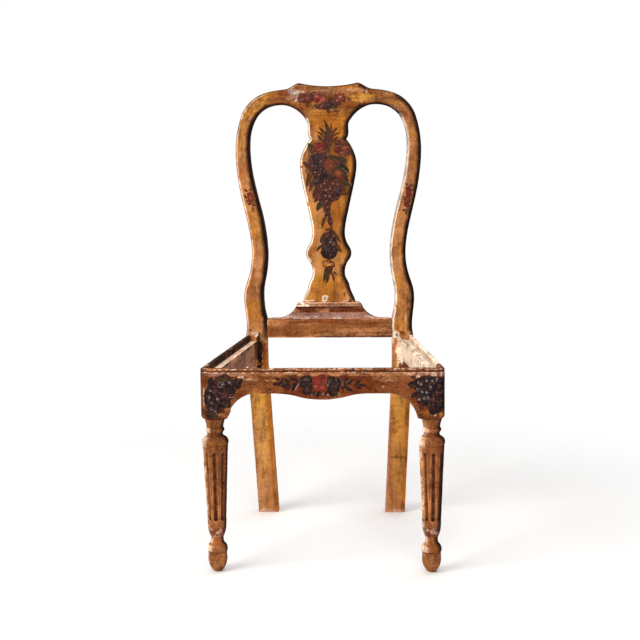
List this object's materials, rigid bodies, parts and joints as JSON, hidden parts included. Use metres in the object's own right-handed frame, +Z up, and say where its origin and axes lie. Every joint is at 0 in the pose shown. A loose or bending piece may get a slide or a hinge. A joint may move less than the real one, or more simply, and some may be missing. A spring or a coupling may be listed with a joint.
{
  "type": "painted side chair with a vase splat and an open seat frame",
  "caption": "Painted wooden side chair with a hooped back, vase-shaped splat, fluted turned front legs and an open rebated seat frame that has lost its loose seat.",
  "frame": {"origin": "on the floor under the middle of the chair's overall box", "axes": "+X to the right seen from the front, +Y to the back, +Z up"},
  "size_m": [0.4995, 0.5063, 1.006],
  "materials": {
    "ochre_paint": "satin",
    "red_brown_paint": "satin",
    "worn_rail_wood": "matte",
    "peg_wood": "matte"
  },
  "bodies": {
    "root": {"crest_rail": "ochre_paint", "back_splat": "ochre_paint", "rear_post_left": "ochre_paint", "rear_post_right": "ochre_paint", "splat_shoe": "worn_rail_wood", "rear_rail": "worn_rail_wood", "side_rail_left": "worn_rail_wood", "side_rail_right": "worn_rail_wood", "front_rail": "red_brown_paint", "front_bracket_left": "red_brown_paint", "front_bracket_right": "red_brown_paint", "front_leg_left": "red_brown_paint", "front_leg_right": "red_brown_paint", "front_rail_pegs": "peg_wood", "rear_rail_pegs": "peg_wood", "side_rail_pegs": "peg_wood", "crest_rail_pegs": "peg_wood"}
  },
  "joints": []
}
